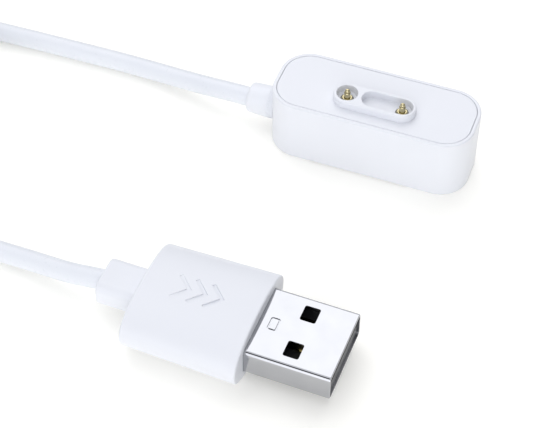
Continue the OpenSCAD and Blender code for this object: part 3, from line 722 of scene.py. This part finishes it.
# ---- USB plug: metal shell ----
# 0.3 mm steel strip, folded to the standard 12 by 4.5 mm box, joined along the underside and plated with bright
# nickel. It has two latch windows in the top and two below, and a small stamped frame behind the upper ones.
TIP = np.array([9.3, -41.4, 4]) * MM
YAW = np.radians(-1.2)
SHELL_WIDTH, SHELL_HEIGHT, SHELL_LENGTH, SHEET = 12 * MM, 4.5 * MM, 18.75 * MM, 0.3 * MM
SHELL_CORNER, SHELL_INNER_CORNER = 0.7 * MM, 0.4 * MM
WINDOW, WINDOW_CORNER = (2.2 * MM, 2.55 * MM), 0.28 * MM
WINDOW_PLACES = [(-6.15 * MM, side * 3.15 * MM) for side in (1, -1)]
STAMP, STAMP_PLACE, STAMP_CORNER = (1.3 * MM, 2.1 * MM), (-10.1 * MM, -0.1 * MM), 0.3 * MM
STAMP_LINE, STAMP_DEPTH = 0.18 * MM, 0.14 * MM
SEAM_WIDTH, SEAM_CORNER = 0.07 * MM, 0.02 * MM


def at_plug(points):
    """Points drawn with the plug's mouth at the origin and its length along -X, laid in their place."""
    cos, sin = np.cos(YAW), np.sin(YAW)
    return points @ np.array([[cos, sin, 0], [-sin, cos, 0], [0, 0, 1]]) + TIP


def sleeve(stations, steps=12):
    """Rings of a form along the plug: each (x, width, height, corner, crown) is a rounded rectangle across X.

    The crown takes its share of the half height off the top and bottom, as the square of Y, and half of it off
    the sides, as the square of Z, so that all four faces bulge.
    """
    rings = []
    for x, width, height, corner, crown in stations:
        centres, normals = outline(width, height, corner, steps)
        y, z = (centres + corner * normals).T
        bulged_y = y * (1 - crown / 2 * (2 * z / height) ** 2)
        bulged_z = z * (1 - crown * (2 * y / width) ** 2)
        rings.append(np.column_stack([np.full(len(y), x), bulged_y, bulged_z]))
    return np.array(rings)


MOUTH_EDGE = 0.16 * MM        # by which the shell's outer edge is rounded off at its mouth
shell_rings = sleeve([
    (-SHELL_LENGTH, SHELL_WIDTH, SHELL_HEIGHT, SHELL_CORNER, 0),
    (-MOUTH_EDGE, SHELL_WIDTH, SHELL_HEIGHT, SHELL_CORNER, 0),
    (-MOUTH_EDGE * 0.3, SHELL_WIDTH - MOUTH_EDGE * 0.6, SHELL_HEIGHT - MOUTH_EDGE * 0.6,
        SHELL_CORNER - MOUTH_EDGE * 0.3, 0),
    (0, SHELL_WIDTH - 2 * MOUTH_EDGE, SHELL_HEIGHT - 2 * MOUTH_EDGE, SHELL_CORNER - MOUTH_EDGE, 0),
    (0, SHELL_WIDTH - 1.8 * SHEET, SHELL_HEIGHT - 1.8 * SHEET, SHELL_INNER_CORNER + 0.1 * SHEET, 0),
    (-0.1 * SHEET, SHELL_WIDTH - 2 * SHEET, SHELL_HEIGHT - 2 * SHEET, SHELL_INNER_CORNER, 0),
    (-SHELL_LENGTH, SHELL_WIDTH - 2 * SHEET, SHELL_HEIGHT - 2 * SHEET, SHELL_INNER_CORNER, 0)], 10)
metal_shell = skin("metal_shell", at_plug(shell_rings), hollow=True)
cutters = []
for place_x, place_y in WINDOW_PLACES:
    prism = upright((*outline(*WINDOW, WINDOW_CORNER, 6), WINDOW_CORNER), [(0, -3 * MM), (0, 3 * MM)])
    cutters.append(skin("window", at_plug(prism + np.array([place_x, place_y, 0]))))
ring_profile = [
    (0, SHELL_HEIGHT / 2 - STAMP_DEPTH), (0, SHELL_HEIGHT / 2 + MM),
    (STAMP_LINE, SHELL_HEIGHT / 2 + MM), (STAMP_LINE, SHELL_HEIGHT / 2 - STAMP_DEPTH)]
stamp = upright((*outline(*STAMP, STAMP_CORNER, 6), STAMP_CORNER), ring_profile)
cutters.append(skin("stamp", at_plug(stamp + np.array([*STAMP_PLACE, 0])), hollow=True))
seam = upright((*outline(SHELL_LENGTH + MM, SEAM_WIDTH, SEAM_CORNER, 1), SEAM_CORNER),
    [(0, -SHELL_HEIGHT / 2 - MM), (0, -SHELL_HEIGHT / 2 + SHEET * 0.6)])
cutters.append(skin("seam", at_plug(seam + np.array([-SHELL_LENGTH / 2, 0, 0]))))
cut(metal_shell, *cutters)

# Bright nickel over rolled steel: slightly warm grey, with fine rolling lines 0.15 mm apart along the plug.
nickel, tree, shader = material("bright nickel plating, on rolled steel", Metallic=1.0)
place = add(tree, "TexCoord").outputs["Object"]
lengthwise = add(tree, "Mapping", {"Vector": place, "Scale": (0.04, 1.0, 1.0)}).outputs["Vector"]
rolling = add(tree, "TexNoise", {"Vector": lengthwise, "Scale": 1 / (0.15 * MM), "Detail": 3.0}).outputs["Fac"]
cloud = add(tree, "TexNoise", {"Vector": place, "Scale": 1 / (3 * MM), "Detail": 3.0}).outputs["Fac"]
plating = add(tree, "MixRGB", {"Fac": cloud, "Color1": linear("#b1b2b6"), "Color2": linear("#bbbcbf")})
gloss = add(tree, "MapRange", {"Value": cloud, "To Min": 0.05, "To Max": 0.09})
lines = add(tree, "Bump", {"Height": rolling, "Strength": 0.1, "Distance": 0.004 * MM})
tree.links.new(plating.outputs["Color"], shader.inputs["Base Color"])
tree.links.new(gloss.outputs["Result"], shader.inputs["Roughness"])
tree.links.new(lines.outputs["Normal"], shader.inputs["Normal"])
finish(metal_shell, nickel, edge=0.035 * MM)
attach(metal_shell, "cable")
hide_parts("plug_shell")


# ---- USB plug: grip ----
# A pillow of white TPE moulded over the shell's back half: crowned top, thin round sides, flat ends with a small
# radius, and three shallow arrow marks that show which way the plug goes in.
GRIP_FRONT, GRIP_BACK = -12.1 * MM, -29 * MM
GRIP_WIDTH, GRIP_HEIGHT, GRIP_POWER = 18 * MM, 8 * MM, 2.4
MOULD_FRONT, MOULD_BACK = -14.1 * MM, -24.1 * MM
MOULD_WIDTH, MOULD_HEIGHT, MOULD_CORNER = 12.7 * MM, 5.5 * MM, 0.75 * MM    # of the hollow that holds it
DRAFT = 0.4 * MM              # by which each side of the grip draws in towards its back
GRIP_STEPS = 23               # per quarter of a ring, outside and inside alike


def pillow(stations):
    """Rings of the grip: each (x, width, height) gives |y/a|^p + |z/b|^p = 1, where p is the grip's power."""
    count = 4 * (GRIP_STEPS + 1)
    turn = 2 * np.pi * (np.arange(count) + 0.5) / count
    across, up = np.cos(turn), np.sin(turn)
    outline_y = np.sign(across) * np.abs(across) ** (2 / GRIP_POWER) / 2
    outline_z = np.sign(up) * np.abs(up) ** (2 / GRIP_POWER) / 2
    x, width, height = np.array(stations).T[..., None]
    return np.stack(np.broadcast_arrays(x, width * outline_y, height * outline_z), axis=-1)


# The mould's draft makes the grip 0.8 mm narrower at its back end.
side_line = rounded([
    (GRIP_FRONT, -MM, 0),
    (GRIP_FRONT, 0, 0.3 * MM),
    (GRIP_BACK, -DRAFT, 0.45 * MM),
    (GRIP_BACK, -MM, 0)])[1:-1]
outside = pillow([(x, GRIP_WIDTH + 2 * depth, GRIP_HEIGHT + 1.6 * depth) for x, depth in side_line])
inside = sleeve([
    (GRIP_BACK, NECK, NECK, NECK / 2, 0),
    (MOULD_BACK, NECK, NECK, NECK / 2, 0),
    (MOULD_BACK, MOULD_WIDTH, MOULD_HEIGHT, MOULD_CORNER, 0),
    (MOULD_FRONT, MOULD_WIDTH, MOULD_HEIGHT, MOULD_CORNER, 0),
    (MOULD_FRONT, SHELL_WIDTH + 2 * GAP, SHELL_HEIGHT + 2 * GAP, SHELL_CORNER + GAP, 0),
    (GRIP_FRONT, SHELL_WIDTH + 2 * GAP, SHELL_HEIGHT + 2 * GAP, SHELL_CORNER + GAP, 0)], GRIP_STEPS)
grip = skin("plug_grip_moulding", at_plug(np.concatenate([outside, inside])), hollow=True)


def chevron(apex, arm, line, bottom, top):
    """Two rings of an upright arrow mark: two arms, of one length and line width, run back from its apex at 45
    degrees."""
    back = arm / np.sqrt(2)
    across = line / 2 / np.sqrt(2)
    side = np.array([(-back + across, back + across), (-back - across, back - across)])
    plan = np.array([(2 * across, 0), *side, (-2 * across, 0), *(side[::-1] * (1, -1))])
    plan[:, 0] += apex
    return np.stack([np.column_stack([plan, np.full(len(plan), height)]) for height in (bottom, top)])


CHEVRON_ARM, CHEVRON_LINE, CHEVRON_DEPTH = 2.8 * MM, 0.5 * MM, 0.35 * MM
arrows = []
for share in (0.40, 0.54, 0.68):    # of the grip's length, from its back
    apex = GRIP_BACK + (GRIP_FRONT - GRIP_BACK) * share
    arrow = chevron(apex, CHEVRON_ARM, CHEVRON_LINE, GRIP_HEIGHT / 2 - CHEVRON_DEPTH, GRIP_HEIGHT / 2 + MM)
    arrows.append(skin("mark", at_plug(arrow)))
cut(grip, *arrows)
finish(grip, white_tpe, edge=0.06 * MM)
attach(grip, "cable")
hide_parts("plug_grip")


# ---- USB plug: strain relief ----
# A flat stub of the same TPE behind the grip, with rounded edges. The cord goes into it through a close-fitting
# bore.
STUB_BACK = -35 * MM
STUB_WIDTH, STUB_HEIGHT, STUB_CORNER, STUB_EDGE = 6.2 * MM, 4.2 * MM, 1.2 * MM, 0.35 * MM
STUB_CROWN = 0.03             # share of its half height
BORE = 2.96 * MM
NECK_OUTSIDE = 3.8 * MM
outer = rounded([(GRIP_BACK, 0, 0), (STUB_BACK, 0, STUB_EDGE), (STUB_BACK, -MM, 0)], steps=4)[:-1]
stub_stations = [
    (x, STUB_WIDTH + 2 * depth, STUB_HEIGHT + 2 * depth, STUB_CORNER + depth, STUB_CROWN)
    for x, depth in outer]
stub_stations += [
    (STUB_BACK, BORE, BORE, BORE / 2, 0),
    (MOULD_BACK, BORE, BORE, BORE / 2, 0),
    (MOULD_BACK, NECK_OUTSIDE, NECK_OUTSIDE, NECK_OUTSIDE / 2, 0),
    (GRIP_BACK, NECK_OUTSIDE, NECK_OUTSIDE, NECK_OUTSIDE / 2, 0)]
stub = skin("plug_stub", at_plug(sleeve(stub_stations)), hollow=True)
finish(stub, white_tpe)
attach(stub, "cable")
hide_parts("plug_strain_relief")


low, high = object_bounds()
